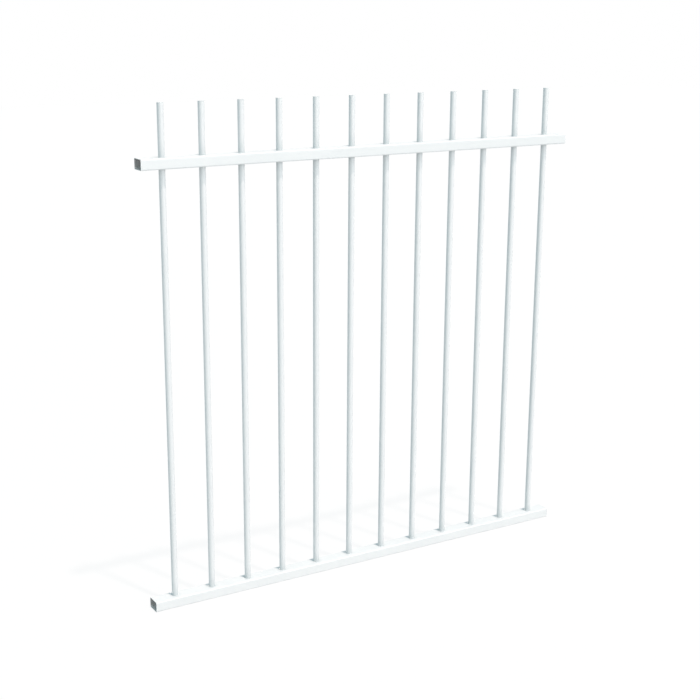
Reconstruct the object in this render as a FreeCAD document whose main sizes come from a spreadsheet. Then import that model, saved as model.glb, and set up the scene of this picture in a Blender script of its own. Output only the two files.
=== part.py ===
# Picket fence panel: round tubular rods held by two rectangular hollow rails.
# The rods stand on the floor of the bottom rail, pass through both walls of the top rail and rise above it.
# A plug pressed into each rod closes its top, level with the rim.
# The rails' ends are open tubes, which slot into the brackets of a post.
# Frame: millimetres, X along the panel, Y through it, +Z up.
# The origin is in the middle of the bottom rail's underside.
import FreeCAD, Part
import math
import os

import Sketcher

V = FreeCAD.Vector

# Driving sizes, in millimetres apart from the count
SIZES = {
    "overall_height": 1200.0,
    "rod_count": 12,
    "rod_pitch": 98.0,
    "rod_diameter": 15.0,
    "rod_wall": 1.0,
    "rod_above_rail": 120.0,
    "rail_height": 25.0,
    "rail_depth": 38.0,
    "rail_wall": 0.8,
    "rail_corner": 3.0,
    "rail_past_rod": 57.0,
    "hole_clearance": 0.15,
    "plug_length": 12.0,
    "plug_clearance": 0.1,
}

# Sizes that follow from the driving ones, as the sheet's own formulas
DERIVED = {
    "rod_span": "=rod_pitch * (rod_count - 1)",
    "rail_length": "=rod_span + 2 * rail_past_rod",
    "top_rail_base": "=overall_height - rod_above_rail - rail_height",
    "rail_inner_corner": "=max(rail_corner - rail_wall; 0.2)",
    "hole_radius": "=rod_diameter / 2 + hole_clearance",
    "rod_bore_radius": "=rod_diameter / 2 - rod_wall",
    "rod_length": "=overall_height - rail_wall",
    "plug_radius": "=rod_bore_radius - plug_clearance",
}

doc = FreeCAD.newDocument("picket_fence_panel")


def make_sheet():
    """The sheet of sizes: a name, its value and that name as the value's alias, row by row."""
    sheet = doc.addObject("Spreadsheet::Sheet", "Sizes")
    for row, (name, value) in enumerate({**SIZES, **DERIVED}.items(), start=1):
        sheet.set("A%d" % row, name)
        sheet.set("B%d" % row, str(value))
        sheet.setAlias("B%d" % row, name)
    doc.recompute()
    return sheet


sheet = make_sheet()


def size(name):
    """A size from the sheet, for geometry that is drawn before its constraints take over."""
    return float(sheet.get(name))


def bind(thing, prop, formula):
    """Ties a property to a formula in which every sheet name is written as Sizes.name."""
    thing.setExpression(prop, formula)


def new_body(label):
    body = doc.addObject("PartDesign::Body", label)
    body.Label = label
    return body


def new_sketch(body, name, plane):
    """A sketch on one of the body's own origin planes: XY_Plane, XZ_Plane or YZ_Plane."""
    sketch = body.newObject("Sketcher::SketchObject", name)
    support = next(f for f in body.Origin.OriginFeatures if f.Role == plane)
    sketch.AttachmentSupport = (support, "")
    sketch.MapMode = "FlatFace"
    return sketch


def constrain(sketch, kind, *where, formula, value):
    """A driving dimension, drawn at its value and then tied to the sheet."""
    index = sketch.addConstraint(Sketcher.Constraint(kind, *where, value))
    bind(sketch, "Constraints[%d]" % index, formula)


def add_circle(sketch, x, radius, x_formula, radius_formula):
    """A circle centred on the sketch's horizontal axis."""
    circle = sketch.addGeometry(Part.Circle(V(x, 0, 0), V(0, 0, 1), radius))
    if x_formula is None:
        sketch.addConstraint(Sketcher.Constraint("Coincident", circle, 3, -1, 1))
    else:
        sketch.addConstraint(Sketcher.Constraint("PointOnObject", circle, 3, -1))
        constrain(sketch, "DistanceX", -1, 1, circle, 3, formula=x_formula, value=x)
    constrain(sketch, "Radius", circle, formula=radius_formula, value=radius)


def add_rounded_rectangle(sketch, width, base, height, corner):
    """A closed tube outline, centred across and standing at base: each size is a (value, formula) pair."""
    half = width[0] / 2
    low, high, r = base[0], base[0] + height[0], corner[0]
    sides = [
        (V(-half + r, low, 0), V(half - r, low, 0)),
        (V(half, low + r, 0), V(half, high - r, 0)),
        (V(half - r, high, 0), V(-half + r, high, 0)),
        (V(-half, high - r, 0), V(-half, low + r, 0)),
    ]
    centres = [
        V(half - r, low + r, 0),
        V(half - r, high - r, 0),
        V(-half + r, high - r, 0),
        V(-half + r, low + r, 0),
    ]
    quarter = math.pi / 2
    lines = [sketch.addGeometry(Part.LineSegment(a, b)) for a, b in sides]
    arcs = []
    for turn, centre in enumerate(centres):
        circle = Part.Circle(centre, V(0, 0, 1), r)
        arc = Part.ArcOfCircle(circle, (turn - 1) * quarter, turn * quarter)
        arcs.append(sketch.addGeometry(arc))
    for n in range(4):
        sketch.addConstraint(Sketcher.Constraint("Tangent", lines[n], 2, arcs[n], 1))
        sketch.addConstraint(Sketcher.Constraint("Tangent", arcs[n], 2, lines[(n + 1) % 4], 1))
        sketch.addConstraint(Sketcher.Constraint("Horizontal" if n % 2 == 0 else "Vertical", lines[n]))
    for n in range(1, 4):
        sketch.addConstraint(Sketcher.Constraint("Equal", arcs[0], arcs[n]))
    constrain(sketch, "Radius", arcs[0], formula=corner[1], value=r)
    constrain(sketch, "DistanceX", -1, 1, lines[1], 1, formula="(%s) / 2" % width[1], value=half)
    constrain(sketch, "DistanceX", lines[3], 1, -1, 1, formula="(%s) / 2" % width[1], value=half)
    constrain(sketch, "DistanceY", lines[0], 1, lines[2], 1, formula=height[1], value=height[0])
    if base[1] is None:
        sketch.addConstraint(Sketcher.Constraint("PointOnObject", lines[0], 1, -1))
    else:
        constrain(sketch, "DistanceY", -1, 1, lines[0], 1, formula=base[1], value=low)


def make_rail(label, base_formula, through):
    """A hollow rail with a rod hole at each pitch, through both walls or through the upper one only."""
    body = new_body(label)

    section = new_sketch(body, label + "_section", "YZ_Plane")
    add_rounded_rectangle(
        section,
        (size("rail_depth"), "Sizes.rail_depth"),
        (0.0, None),
        (size("rail_height"), "Sizes.rail_height"),
        (size("rail_corner"), "Sizes.rail_corner"),
    )
    wall = size("rail_wall")
    add_rounded_rectangle(
        section,
        (size("rail_depth") - 2 * wall, "Sizes.rail_depth - 2 * Sizes.rail_wall"),
        (wall, "Sizes.rail_wall"),
        (size("rail_height") - 2 * wall, "Sizes.rail_height - 2 * Sizes.rail_wall"),
        (size("rail_inner_corner"), "Sizes.rail_inner_corner"),
    )
    tube = body.newObject("PartDesign::Pad", label + "_tube")
    tube.Profile = section
    bind(tube, "Length", "Sizes.rail_length")
    section.Visibility = False
    doc.recompute()
    solid_tube = tube.Shape.Volume

    first_hole = new_sketch(body, label + "_first_hole", "XY_Plane")
    bind(first_hole, "AttachmentOffset.Base.z", "Sizes.rail_height")
    across = size("rail_past_rod")
    radius = size("hole_radius")
    add_circle(first_hole, across, radius, "Sizes.rail_past_rod", "Sizes.hole_radius")
    hole = body.newObject("PartDesign::Pocket", label + "_hole")
    hole.Profile = first_hole
    hole.Type = "Length"
    depth = "Sizes.rail_height" if through else "Sizes.rail_height / 2"
    bind(hole, "Length", depth)
    doc.recompute()
    one_hole = solid_tube - hole.Shape.Volume

    row = body.newObject("PartDesign::LinearPattern", label + "_hole_row")
    row.Originals = [hole]
    row.Direction = (first_hole, ["H_Axis"])
    bind(row, "Length", "Sizes.rod_span")
    bind(row, "Occurrences", "Sizes.rod_count")
    body.Tip = row
    doc.recompute()

    walls = 2 if through else 1
    disc = math.pi * size("hole_radius") ** 2 * size("rail_wall")
    cut = (solid_tube - body.Shape.Volume) / (disc * size("rod_count"))
    if abs(one_hole / disc - walls) > 0.01 or abs(cut - walls) > 0.01:
        raise RuntimeError("%s: the rod holes cut %.3f walls each, not %d" % (label, cut, walls))

    bind(body, "Placement.Base.x", "-Sizes.rail_length / 2")
    bind(body, "Placement.Base.z", base_formula)
    return body


def rod_x(number):
    """Where rod number 1, 2, 3 ... stands along the panel, as a formula."""
    return "Sizes.rod_pitch * %d - Sizes.rod_span / 2" % (number - 1)


def make_rod(number):
    """A tube from the bottom rail's floor to the top of the panel."""
    label = "rod_%02d" % number
    body = new_body(label)
    ring = new_sketch(body, label + "_ring", "XY_Plane")
    add_circle(ring, 0, size("rod_diameter") / 2, None, "Sizes.rod_diameter / 2")
    add_circle(ring, 0, size("rod_bore_radius"), None, "Sizes.rod_bore_radius")
    tube = body.newObject("PartDesign::Pad", label + "_tube")
    tube.Profile = ring
    bind(tube, "Length", "Sizes.rod_length")
    bind(body, "Placement.Base.x", rod_x(number))
    bind(body, "Placement.Base.z", "Sizes.rail_wall")
    return body


def make_plug(number):
    """The disc pressed into a rod's bore, level with its rim."""
    plug = doc.addObject("Part::Cylinder", "rod_plug_%02d" % number)
    plug.Label = "rod_plug_%02d" % number
    bind(plug, "Radius", "Sizes.plug_radius")
    bind(plug, "Height", "Sizes.plug_length")
    bind(plug, "Placement.Base.x", rod_x(number))
    bind(plug, "Placement.Base.z", "Sizes.overall_height - Sizes.plug_length")
    return plug


parts = [
    make_rail("bottom_rail", "0", through=False),
    make_rail("top_rail", "Sizes.top_rail_base", through=True),
]
for number in range(1, int(size("rod_count")) + 1):
    parts.append(make_rod(number))
    parts.append(make_plug(number))

doc.recompute()

for thing in doc.Objects:
    if "Invalid" in thing.State or "Error" in thing.State:
        raise RuntimeError("%s failed: %s" % (thing.Label, thing.State))
for part in parts:
    if part.Shape.isNull() or not part.Shape.isValid() or len(part.Shape.Solids) != 1:
        raise RuntimeError("%s has no single valid solid" % part.Label)

os.makedirs("parts", exist_ok=True)
for part in parts:
    part.Shape.exportStep("parts/%s.step" % part.Label)
    box = part.Shape.BoundBox
    print("%-12s x %8.2f %8.2f  z %8.2f %8.2f  %9.1f mm3"
          % (part.Label, box.XMin, box.XMax, box.ZMin, box.ZMax, part.Shape.Volume))
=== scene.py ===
import math

import bmesh
import bpy
from mathutils import Matrix, Vector


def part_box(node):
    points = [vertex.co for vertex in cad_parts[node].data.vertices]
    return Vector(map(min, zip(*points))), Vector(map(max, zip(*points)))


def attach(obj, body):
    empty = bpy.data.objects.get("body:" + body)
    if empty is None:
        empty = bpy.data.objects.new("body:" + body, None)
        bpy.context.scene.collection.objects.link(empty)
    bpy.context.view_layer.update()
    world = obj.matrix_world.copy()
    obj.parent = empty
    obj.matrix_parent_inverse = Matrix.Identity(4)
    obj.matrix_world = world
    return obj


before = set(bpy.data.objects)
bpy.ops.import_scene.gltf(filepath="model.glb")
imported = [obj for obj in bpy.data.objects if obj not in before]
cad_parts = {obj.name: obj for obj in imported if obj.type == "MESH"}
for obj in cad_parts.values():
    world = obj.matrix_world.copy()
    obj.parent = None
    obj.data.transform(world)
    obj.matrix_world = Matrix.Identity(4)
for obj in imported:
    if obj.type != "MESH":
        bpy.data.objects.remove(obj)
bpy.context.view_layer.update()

# The nodes, and sizes read from the frame in metres
RAILS = ("bottom_rail", "top_rail")
PLUGS = sorted(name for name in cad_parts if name.startswith("rod_plug"))
RODS = sorted(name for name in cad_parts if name.startswith("rod") and name not in PLUGS)
RAIL_LOW, RAIL_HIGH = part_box("bottom_rail")
TOP_RAIL_LOW, TOP_RAIL_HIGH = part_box("top_rail")
ROD_LOW, ROD_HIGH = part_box(RODS[0])
HALF_LENGTH = (RAIL_HIGH.x - RAIL_LOW.x) / 2
HALF_DEPTH = (RAIL_HIGH.y - RAIL_LOW.y) / 2
HALF_HEIGHT = (RAIL_HIGH.z - RAIL_LOW.z) / 2
RAIL_WALL = ROD_LOW.z - RAIL_LOW.z     # a rod stands on the bottom rail's inner floor
ROD_RADIUS = (ROD_HIGH.x - ROD_LOW.x) / 2
FIRST_ROD = (ROD_HIGH.x + ROD_LOW.x) / 2
ROD_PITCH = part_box(RODS[1])[0].x - ROD_LOW.x
SAME_PLACE = 1e-6                      # points this near are at the same place


def outer_corner(name):
    """The radius of a rail's long outer edges: its flat top is that much narrower on each side."""
    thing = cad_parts[name]
    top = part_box(name)[1]
    corners = (thing.matrix_world @ vertex.co for vertex in thing.data.vertices)
    return top.y - max(corner.y for corner in corners if corner.z > top.z - SAME_PLACE)


RAIL_CORNER = outer_corner("bottom_rail")


# The camera

# A pinhole solved from the rails' and rods' edges in the photo, in metres and degrees
CAMERA_PLACE = Vector((-1.6681, -2.6917, 1.4267))
CAMERA_HEADING = 31.014    # to the right of +Y
CAMERA_DIP = 15.199        # below the horizon
CAMERA_ROLL = 0.39         # anticlockwise, seen from behind the camera
FOCAL_PIXELS = 1303.1      # the focal length in the photo's pixels
PICTURE_PIXELS = 700.0     # the photo's width in pixels
SENSOR_WIDTH = 36.0        # in millimetres
NEAREST, FARTHEST = 0.05, 60.0


def make_camera():
    """The camera that took the photo."""
    data = bpy.data.cameras.new("photo_camera")
    data.sensor_width = SENSOR_WIDTH
    data.lens = FOCAL_PIXELS / PICTURE_PIXELS * SENSOR_WIDTH
    data.clip_start = NEAREST
    data.clip_end = FARTHEST
    camera = bpy.data.objects.new("photo_camera", data)
    turn = (Matrix.Rotation(-math.radians(CAMERA_HEADING), 4, "Z")
            @ Matrix.Rotation(math.pi / 2 - math.radians(CAMERA_DIP), 4, "X")
            @ Matrix.Rotation(math.radians(CAMERA_ROLL), 4, "Z"))
    camera.matrix_world = Matrix.Translation(CAMERA_PLACE) @ turn
    bpy.context.scene.collection.objects.link(camera)
    bpy.context.scene.camera = camera


# Node helpers

PLASTIC_IOR = 1.5          # of the powder coat and of the plugs


def new_material(name):
    """A material with an empty tree, a shader and its output."""
    material = bpy.data.materials.new(name)
    material.use_nodes = True
    tree = material.node_tree
    tree.nodes.clear()
    shader = tree.nodes.new("ShaderNodeBsdfPrincipled")
    shader.inputs["IOR"].default_value = PLASTIC_IOR
    output = tree.nodes.new("ShaderNodeOutputMaterial")
    tree.links.new(shader.outputs["BSDF"], output.inputs["Surface"])
    return material, tree, shader


def fill_socket(tree, socket, value):
    """A link, a number or a colour into one socket."""
    if isinstance(value, bpy.types.NodeSocket):
        tree.links.new(value, socket)
    elif isinstance(value, tuple) and socket.type == "RGBA":
        socket.default_value = (*value, 1.0)
    else:
        socket.default_value = value


def node(tree, kind, **inputs):
    """A node with values or links given by input name, with _ for a space."""
    made = tree.nodes.new(kind)
    for name, value in inputs.items():
        fill_socket(tree, made.inputs[name.replace("_", " ")], value)
    return made


def maths(tree, operation, *values):
    """The result of a sum done by one node."""
    made = tree.nodes.new("ShaderNodeMath")
    made.operation = operation
    for socket, value in zip(made.inputs, values):
        fill_socket(tree, socket, value)
    return made.outputs[0]


def noise(tree, place, scale, detail=2.0, roughness=0.5):
    """Noise of about 0.3 to 0.7 with this many features to the metre."""
    made = node(tree, "ShaderNodeTexNoise", Vector=place, Scale=scale, Detail=detail,
                Roughness=roughness)
    return made.outputs["Fac"]


def ramp(tree, value, low, high, from_value=0.0, to_value=1.0):
    """from_value below low, to_value above high, and a smooth step between them."""
    made = tree.nodes.new("ShaderNodeMapRange")
    made.interpolation_type = "SMOOTHSTEP"
    for socket, given in zip(made.inputs, (value, low, high, from_value, to_value)):
        fill_socket(tree, socket, given)
    return made.outputs[0]


def mix(tree, factor, first, second):
    """Two colours mixed. The node has the factor at input 0, its colours at inputs 6 and 7 and
    their mix at output 2."""
    made = tree.nodes.new("ShaderNodeMix")
    made.data_type = "RGBA"
    for index, value in ((0, factor), (6, first), (7, second)):
        fill_socket(tree, made.inputs[index], value)
    return made.outputs[2]


def bump(tree, height, strength, distance, normal=None):
    """A bumpy normal, on top of another one if that is given."""
    made = node(tree, "ShaderNodeBump", Height=height, Strength=strength, Distance=distance)
    if normal is not None:
        tree.links.new(normal, made.inputs["Normal"])
    return made.outputs["Normal"]


# Materials

# Colours
COAT_WHITE = (0.885, 0.892, 0.892)
COAT_THIN = (0.865, 0.875, 0.877)      # where the coat is thin and its grey primer tells a little
MOUTH_SHADE_TONE = (0.58, 0.555, 0.54)       # inside an open tube, at its mouth: a warm primer tone, darkened there as painted shade
DEEP_TONE = (0.87, 0.81, 0.78)         # inside an open tube, further in
TUBE_FLOOR_LIGHT_TONE = (0.90, 0.87, 0.85)        # inside an open tube, on its floor: painted light, where the floor faces up to the light coming in
PAINTED_SHADE_LEAVES = (0.0, 0.13, 0.16)        # what painted shade leaves of the coat's red, green and blue

# The coat's texture. A scale is in features to the metre, an edge is the part of the noise that
# counts, and a bump is a strength and a height in metres.
PATCH_SCALE, PATCH_EDGE = 9.0, (0.35, 0.7)
SHEEN_SCALE, SHEEN_EDGE = 60.0, (0.3, 0.7)
COAT_ROUGHNESS = (0.33, 0.42)
DUSTY_ROUGHNESS = 0.18                 # added inside a tube
PEEL_SCALE, PEEL_BUMP = 900.0, (0.08, 0.0002)
WAVE_SCALE, WAVE_BUMP = 260.0, (0.06, 0.0004)

# The plugs' texture, in the same way
SHADE_SCALE = 40.0
GRAIN_SCALE, GRAIN_EDGE, GRAIN_BUMP = 2500.0, (0.3, 0.7), (0.15, 0.0001)
GRAIN_ROUGHNESS = (0.5, 0.62)

# Where the tones inside an open tube change, in metres. Noise times DEEP_UNEVEN is added to the
# depth before it is compared.
TUBE_FLOOR_LIGHT_BAND = 0.0075        # the floor's painted light ends this far above the rail's underside
DEEP_FROM = 0.004          # the mouth's tone begins to fade at this depth
DEEP_AT = 0.019            # the mouth's tone is gone at this depth
DEEP_UNEVEN = 0.004
MOUTH_EDGE_SCALE = 420.0         # features of that noise to the metre

# Painted shade and a painted darker rim outside: where they are, in metres, and the share of the
# coat's tone that they take
RIM_DARK_HEIGHT = 0.0010        # the coat is painted darker this far down from a rod's cut top edge, which dims that edge's highlight
RIM_DARK_FADE = 0.3             # the share of that height over which that darkening fades, up and down
RIM_DARK_TONE = 0.22
FOOT_SHADE_REACH = 0.012         # painted shade on a rail reaches this far from a rod
FOOT_SHADE_TONE = 0.10
LOWER_EDGE_SHADE_REACH = 0.003       # painted shade reaches this far up from the bottom rail's lower edge
LOWER_EDGE_SHADE_TONE = 0.10

# Painted shade on the rods near each rail face: the face, how far it reaches, the share of the
# coat's tone that it takes at the joint, and how fast it fades
ROD_SHADE_BANDS = (
    (RAIL_HIGH.z, 0.055, 0.30, 2.4),
    (TOP_RAIL_LOW.z, 0.032, 0.24, 1.5),
    (TOP_RAIL_HIGH.z, 0.055, 0.30, 2.4),
)


def powder_coat(name, tube_middle=None):
    """White powder coat with a fine orange-peel skin. A rail gives its middle height, and has
    painted shade round the rods' feet and along its lower edge, and inside its open ends a warm
    primer tone with painted shade near the mouth and painted light on the floor; without one the
    coat is a rod's, with painted shade near the rails and a painted darker band at its top edge."""
    material, tree, shader = new_material(name)
    place = tree.nodes.new("ShaderNodeTexCoord").outputs["Object"]
    patches = ramp(tree, noise(tree, place, PATCH_SCALE, detail=3.0), *PATCH_EDGE)
    tone = mix(tree, patches, COAT_WHITE, COAT_THIN)
    sheen = noise(tree, place, SHEEN_SCALE, detail=3.0)
    roughness = ramp(tree, sheen, *SHEEN_EDGE, *COAT_ROUGHNESS)
    peel = noise(tree, place, PEEL_SCALE, roughness=0.55)
    waves = noise(tree, place, WAVE_SCALE)
    if tube_middle is None:
        # painted shade near the rails, and a painted darker band at the cut top edge
        tone = with_painted_shade(tree, tone, rod_painted_shade_and_rim(tree, place))
    else:
        # painted shade round the rods' feet and along the bottom rail's lower edge
        tone = with_painted_shade(tree, tone, rail_painted_shade(tree, place))
        # inside the tube: a warm primer tone, painted shade near the mouth and painted light on
        # the floor
        inside, tube_floor_light, depth = tube_inside(tree, place, tube_middle)
        uneven = noise(tree, place, MOUTH_EDGE_SCALE, detail=4.0, roughness=0.7)
        edge = maths(tree, "MULTIPLY_ADD", uneven, DEEP_UNEVEN, depth)
        wall = mix(tree, ramp(tree, edge, DEEP_FROM, DEEP_AT), MOUTH_SHADE_TONE, DEEP_TONE)
        tone = mix(tree, inside, tone, mix(tree, tube_floor_light, wall, TUBE_FLOOR_LIGHT_TONE))
        roughness = maths(tree, "MULTIPLY_ADD", inside, DUSTY_ROUGHNESS, roughness)
    tree.links.new(tone, shader.inputs["Base Color"])
    tree.links.new(roughness, shader.inputs["Roughness"])
    skin = bump(tree, waves, *WAVE_BUMP, bump(tree, peel, *PEEL_BUMP))
    tree.links.new(skin, shader.inputs["Normal"])
    return material


def with_painted_shade(tree, tone, share):
    """A tone with this share of it under painted shade, which is bluer."""
    under = tree.nodes.new("ShaderNodeVectorMath")
    under.operation = "MULTIPLY"
    fill_socket(tree, under.inputs[0], tone)
    fill_socket(tree, under.inputs[1], PAINTED_SHADE_LEAVES)
    return mix(tree, share, tone, under.outputs["Vector"])


def rod_painted_shade_and_rim(tree, place):
    """The share of a rod's tone that goes to painted shade near the rails and to a painted darker
    band at its cut top edge.
    """
    height = node(tree, "ShaderNodeSeparateXYZ", Vector=place).outputs[2]
    rim_start = ROD_HIGH.z - (1 + RIM_DARK_FADE) * RIM_DARK_HEIGHT
    rim_full = ROD_HIGH.z - (1 - RIM_DARK_FADE) * RIM_DARK_HEIGHT
    most = ramp(tree, height, rim_start, rim_full, 0.0, RIM_DARK_TONE)
    for face, reach, share, fade in ROD_SHADE_BANDS:
        away = maths(tree, "ABSOLUTE", maths(tree, "SUBTRACT", height, face))
        near = maths(tree, "SUBTRACT", 1.0, maths(tree, "DIVIDE", away, reach))
        shade = maths(tree, "POWER", maths(tree, "MAXIMUM", near, 0.0), fade)
        most = maths(tree, "MAXIMUM", most, maths(tree, "MULTIPLY", shade, share))
    return most


def rail_painted_shade(tree, place):
    """The share of a rail's tone that goes to painted shade round the rods, which stand at one
    pitch from each other, and along the bottom rail's lower edge."""
    parts = node(tree, "ShaderNodeSeparateXYZ", Vector=place).outputs
    along = maths(tree, "SUBTRACT", parts[0], FIRST_ROD)
    across = maths(tree, "PINGPONG", maths(tree, "ABSOLUTE", along), ROD_PITCH / 2)
    through = maths(tree, "MULTIPLY", parts[1], parts[1])
    squares = maths(tree, "MULTIPLY_ADD", across, across, through)
    away = maths(tree, "SUBTRACT", maths(tree, "SQRT", squares), ROD_RADIUS)
    foot = ramp(tree, away, 0.0, FOOT_SHADE_REACH, FOOT_SHADE_TONE, 0.0)
    # painted shade along the bottom rail's lower edge
    lower_edge_shade = ramp(tree, parts[2], RAIL_LOW.z, RAIL_LOW.z + LOWER_EDGE_SHADE_REACH, LOWER_EDGE_SHADE_TONE, 0.0)
    return maths(tree, "MAXIMUM", foot, lower_edge_shade)


def tube_inside(tree, place, middle):
    """1 on a rail's inner walls and 0 on its outer ones, 1 low down in the tube, where its floor
    gets painted light, and 0 higher up, and the distance from the open end. The walls are told
    apart by their distance outward from the corners' centres, which is the same all round."""
    parts = node(tree, "ShaderNodeSeparateXYZ", Vector=place).outputs
    above = maths(tree, "SUBTRACT", parts[2], middle)
    across = maths(tree, "SUBTRACT", maths(tree, "ABSOLUTE", parts[1]), HALF_DEPTH - RAIL_CORNER)
    up = maths(tree, "SUBTRACT", maths(tree, "ABSOLUTE", above), HALF_HEIGHT - RAIL_CORNER)
    u = maths(tree, "MAXIMUM", across, 0.0)
    v = maths(tree, "MAXIMUM", up, 0.0)
    squares = maths(tree, "MULTIPLY_ADD", u, u, maths(tree, "MULTIPLY", v, v))
    round_part = maths(tree, "SQRT", squares)
    flat_part = maths(tree, "MINIMUM", maths(tree, "MAXIMUM", across, up), 0.0)
    outward = maths(tree, "ADD", round_part, flat_part)
    within = maths(tree, "LESS_THAN", outward, RAIL_CORNER - RAIL_WALL / 2)
    depth = maths(tree, "SUBTRACT", HALF_LENGTH, maths(tree, "ABSOLUTE", parts[0]))
    past_rim = maths(tree, "GREATER_THAN", depth, SOFT_EDGE)
    low = ramp(tree, above, -HALF_HEIGHT + RAIL_WALL, -HALF_HEIGHT + TUBE_FLOOR_LIGHT_BAND, 1.0, 0.0)
    return maths(tree, "MULTIPLY", within, past_rim), low, depth


def plug_plastic():
    """The plugs' moulded face: matt, with a fine spark-eroded grain."""
    material, tree, shader = new_material("white_moulded_plastic")
    place = tree.nodes.new("ShaderNodeTexCoord").outputs["Object"]
    tone = mix(tree, noise(tree, place, SHADE_SCALE, detail=3.0), COAT_WHITE, COAT_THIN)
    tree.links.new(tone, shader.inputs["Base Color"])
    grain = noise(tree, place, GRAIN_SCALE, detail=3.0, roughness=0.6)
    tree.links.new(ramp(tree, grain, *GRAIN_EDGE, *GRAIN_ROUGHNESS), shader.inputs["Roughness"])
    tree.links.new(bump(tree, grain, *GRAIN_BUMP), shader.inputs["Normal"])
    return material


def paint(names, material):
    """One material on every slot of these CAD nodes."""
    for name in names:
        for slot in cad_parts[name].material_slots:
            slot.material = material


# Edges and joints

SOFT_EDGE = 0.0002         # the coat rounds every sawn or drilled edge this much
SOFT_STEPS = 3             # faces across such an edge
SHARP_ANGLE = 40.0         # an edge is rounded if its faces meet at more than these degrees
FILLET = 0.0009            # the coat bridges each rod and its hole with a fillet of this size
FILLET_SINK = 0.0001       # the fillet's hidden edge lies this deep in the rod and the rail
FILLET_TURNS = 60          # faces round a rod
FILLET_STEPS = 4           # faces from the rod to the rail

# A fillet's size varies round the rod in two waves. Each has a share of the size, a number of
# waves to the turn and a shift from rod to rod.
FILLET_WAVES = ((0.10, 2, 1.7), (0.06, 5, 2.9))
PIECE_SHIFT = 0.37         # and a shift from piece to piece, for each letter of the piece's name


def soften(name):
    """Rounds a CAD node's sharp edges as a coat does."""
    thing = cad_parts[name]
    weld = thing.modifiers.new("weld", "WELD")
    weld.merge_threshold = SAME_PLACE
    bevel = thing.modifiers.new("soft_edges", "BEVEL")
    bevel.width = SOFT_EDGE
    bevel.segments = SOFT_STEPS
    bevel.limit_method = "ANGLE"
    bevel.angle_limit = math.radians(SHARP_ANGLE)
    bevel.use_clamp_overlap = True
    normals = thing.modifiers.new("normals", "WEIGHTED_NORMAL")
    normals.keep_sharp = True


def fillet_size(turn, seed):
    """The coat gathers a little unevenly round a joint."""
    return FILLET * (1 + sum(share * math.sin(waves * turn + shift * seed)
                             for share, waves, shift in FILLET_WAVES))


def add_fillet(mesh, centre, face_z, up, seed):
    """A closed ring between a rod and the rail face at face_z, above it (up is 1) or below it
    (up is -1). Its section is the hidden edge and a quarter circle from the rod to the rail."""
    rings = []
    for n in range(FILLET_TURNS):
        turn = 2 * math.pi * n / FILLET_TURNS
        size = fillet_size(turn, seed)
        section = [(-FILLET_SINK, -FILLET_SINK)]
        for step in range(FILLET_STEPS + 1):
            a = math.pi / 2 * step / FILLET_STEPS
            section.append((size * (1 - math.cos(a)), size * (1 - math.sin(a))))
        ring = []
        for out, rise in section:
            r = ROD_RADIUS + out
            across, through = r * math.cos(turn), r * math.sin(turn)
            ring.append(mesh.verts.new((centre + across, through, face_z + up * rise)))
        rings.append(ring)
    for n, ring in enumerate(rings):
        after = rings[(n + 1) % FILLET_TURNS]
        for k in range(len(ring)):
            j = (k + 1) % len(ring)
            mesh.faces.new((ring[k], after[k], after[j], ring[j]))


def add_object(name, mesh, material):
    """An object in the scene from a bmesh, which is used up."""
    data = bpy.data.meshes.new(name)
    mesh.to_mesh(data)
    mesh.free()
    data.materials.append(material)
    thing = bpy.data.objects.new(name, data)
    bpy.context.scene.collection.objects.link(thing)
    return thing


def joint_fillets(name, face_z, up, material):
    """One piece with the fillets of all the rods at one rail face."""
    mesh = bmesh.new()
    for seed, rod in enumerate(RODS):
        low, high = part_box(rod)
        add_fillet(mesh, (low.x + high.x) / 2, face_z, up, seed + PIECE_SHIFT * len(name))
    bmesh.ops.recalc_face_normals(mesh, faces=mesh.faces)
    for face in mesh.faces:
        face.smooth = True
    piece = add_object(name, mesh, material)
    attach(piece, "root")


# The studio: floor, backdrop and lights

FLOOR_DROP = 0.0004        # the floor lies this far under the rail
FLOOR_HALF = 14.0          # half the floor's side
FLOOR_CELLS = 4            # faces along the floor's side
WHITE = (1.0, 1.0, 1.0)
FLOOR_PALE = (0.50, 0.50, 0.50)
FLOOR_GLOW = 0.91          # the white that the camera, a mirror or glass sees in the floor
FLOOR_SHARE = 0.18         # how much of the lit floor lies over that white and keeps the shadow
AMBIENT = (0.31, 0.455, 0.505)

# Each lamp: degrees to the right of the panel's front, degrees above the horizon, strength,
# degrees that it spans in the sky, and tint
LAMPS = {
    "key_light": (18.0, 73.5, 1.88, 2.0, (1.0, 0.85, 0.79)),
    "fill_light": (8.0, 12.0, 1.36, 40.0, (1.0, 0.94, 0.91)),
    "side_light": (50.0, 20.0, 0.24, 40.0, (1.0, 0.94, 0.91)),
    "back_light": (165.0, 5.0, 0.70, 8.0, (1.0, 0.78, 0.70)),
}


def seen_ray(tree):
    """1 for what the camera, a mirror or glass sees, and 0 for every other ray."""
    ray = tree.nodes.new("ShaderNodeLightPath")
    glossy, through_glass = ray.outputs["Is Glossy Ray"], ray.outputs["Is Transmission Ray"]
    indirect = maths(tree, "MAXIMUM", glossy, through_glass)
    return maths(tree, "MAXIMUM", ray.outputs["Is Camera Ray"], indirect)


def show_by_ray(tree, output_kind, other, seen):
    """Ends a tree with one shader for what is seen and another for every other ray."""
    choose = tree.nodes.new("ShaderNodeMixShader")
    for socket, given in zip(choose.inputs, (seen_ray(tree), other, seen)):
        fill_socket(tree, socket, given)
    output = tree.nodes.new(output_kind)
    tree.links.new(choose.outputs[0], output.inputs["Surface"])


def make_world():
    """Soft light from all round, and plain white to the eye."""
    world = bpy.data.worlds.new("studio")
    bpy.context.scene.world = world
    world.use_nodes = True
    tree = world.node_tree
    tree.nodes.clear()
    soft = node(tree, "ShaderNodeBackground", Color=AMBIENT, Strength=1.0)
    white = node(tree, "ShaderNodeBackground", Color=WHITE, Strength=1.0)
    show_by_ray(tree, "ShaderNodeOutputWorld", soft.outputs[0], white.outputs[0])


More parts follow.
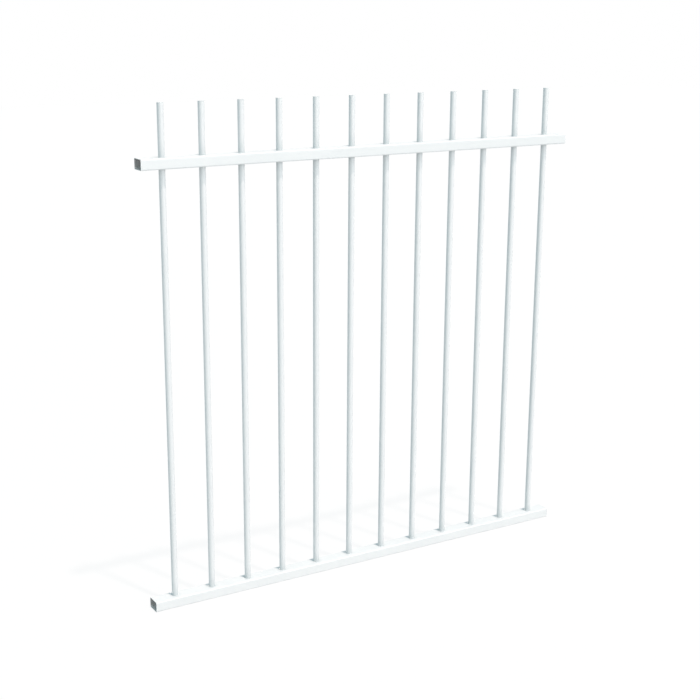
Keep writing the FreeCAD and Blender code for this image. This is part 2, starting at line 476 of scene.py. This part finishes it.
def pale_floor():
    """The floor's material: white to the eye, with the object's faint shadow."""
    material = bpy.data.materials.new("pale_floor")
    material.use_nodes = True
    tree = material.node_tree
    tree.nodes.clear()
    lit = node(tree, "ShaderNodeBsdfDiffuse", Color=FLOOR_PALE)
    veil = node(tree, "ShaderNodeBsdfDiffuse", Color=tuple(FLOOR_SHARE * c for c in FLOOR_PALE))
    glow = node(tree, "ShaderNodeEmission", Color=WHITE, Strength=FLOOR_GLOW)
    seen = tree.nodes.new("ShaderNodeAddShader")
    tree.links.new(veil.outputs[0], seen.inputs[0])
    tree.links.new(glow.outputs[0], seen.inputs[1])
    show_by_ray(tree, "ShaderNodeOutputMaterial", lit.outputs[0], seen.outputs[0])
    return material


def make_floor():
    """A plain pale floor."""
    mesh = bmesh.new()
    bmesh.ops.create_grid(mesh, x_segments=FLOOR_CELLS, y_segments=FLOOR_CELLS, size=FLOOR_HALF)
    floor = add_object("floor", mesh, pale_floor())
    floor.location.z = RAIL_LOW.z - FLOOR_DROP


def make_lamp(name, heading, height, strength, softness, tint):
    """A lamp like a sun, far away in one direction."""
    data = bpy.data.lights.new(name, "SUN")
    data.energy = strength
    data.angle = math.radians(softness)
    data.color = tint
    lamp = bpy.data.objects.new(name, data)
    a, e = math.radians(heading), math.radians(height)
    source = Vector((math.sin(a) * math.cos(e), -math.cos(a) * math.cos(e), math.sin(e)))
    lamp.rotation_mode = "QUATERNION"
    lamp.rotation_quaternion = source.to_track_quat("Z", "Y")
    bpy.context.scene.collection.objects.link(lamp)


def make_studio():
    make_world()
    make_floor()
    for name, settings in LAMPS.items():
        make_lamp(name, *settings)


make_camera()

rod_coat = powder_coat("white_powder_coat")
paint(RODS, rod_coat)
paint(PLUGS, plug_plastic())
for rail in RAILS:
    low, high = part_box(rail)
    paint([rail], powder_coat(rail + "_powder_coat", (low.z + high.z) / 2))
for name in (*RAILS, *RODS, *PLUGS):
    soften(name)

joint_fillets("bottom_rail_fillets", RAIL_HIGH.z, 1, rod_coat)
joint_fillets("top_rail_lower_fillets", TOP_RAIL_LOW.z, -1, rod_coat)
joint_fillets("top_rail_upper_fillets", TOP_RAIL_HIGH.z, 1, rod_coat)

make_studio()

bpy.context.scene.view_settings.view_transform = "Standard"
